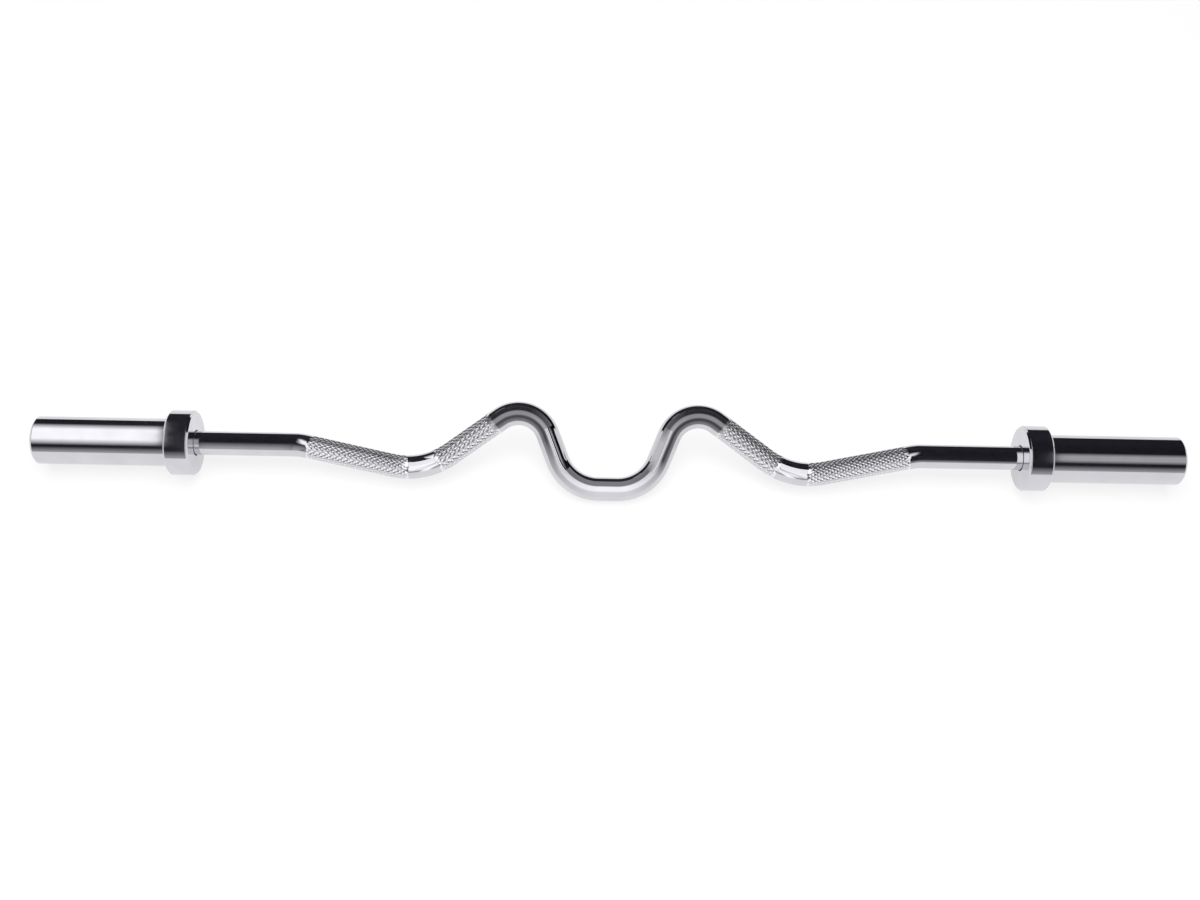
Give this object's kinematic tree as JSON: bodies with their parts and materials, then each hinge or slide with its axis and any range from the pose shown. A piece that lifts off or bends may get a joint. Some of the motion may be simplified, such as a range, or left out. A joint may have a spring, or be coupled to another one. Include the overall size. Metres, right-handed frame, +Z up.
{
  "type": "ez curl bar",
  "caption": "Chromed curl bar: a W-bent shaft with knurled grips, and a revolving plate sleeve with a stop collar at each end, for curls and presses with disc weights.",
  "frame": {"origin": "middle of the bar, on the common axis of both sleeves", "axes": "+X along the sleeves' axis, +Z up from the floor that the bar lies on, +Y from the dip of the shaft towards its crests"},
  "size_m": [1.194, 0.0907, 0.068],
  "materials": {
    "chrome": "polished chrome plate on steel",
    "spring_steel": "oiled spring steel",
    "bronze": "machined bearing bronze"
  },
  "bodies": {
    "bar": {"shaft": "chrome", "left_inner_thrust_washer": "spring_steel", "left_outer_thrust_washer": "spring_steel", "left_retaining_ring": "spring_steel", "right_inner_thrust_washer": "spring_steel", "right_outer_thrust_washer": "spring_steel", "right_retaining_ring": "spring_steel"},
    "left_revolving_sleeve": {"left_sleeve": "chrome", "left_collar": "chrome", "left_collar_pin": "spring_steel", "left_inner_bushing": "bronze", "left_outer_bushing": "bronze", "left_end_cap": "chrome", "left_end_cap_ring": "spring_steel"},
    "right_revolving_sleeve": {"right_sleeve": "chrome", "right_collar": "chrome", "right_collar_pin": "spring_steel", "right_inner_bushing": "bronze", "right_outer_bushing": "bronze", "right_end_cap": "chrome", "right_end_cap_ring": "spring_steel"}
  },
  "joints": [
    {"name": "left_sleeve_spin", "type": "hinge", "parent": "bar", "child": "left_revolving_sleeve", "pos_m": [-0.5165, 0, 0], "axis": [1, 0, 0], "continuous": true},
    {"name": "right_sleeve_spin", "type": "hinge", "parent": "bar", "child": "right_revolving_sleeve", "pos_m": [0.5165, 0, 0], "axis": [1, 0, 0], "continuous": true}
  ]
}
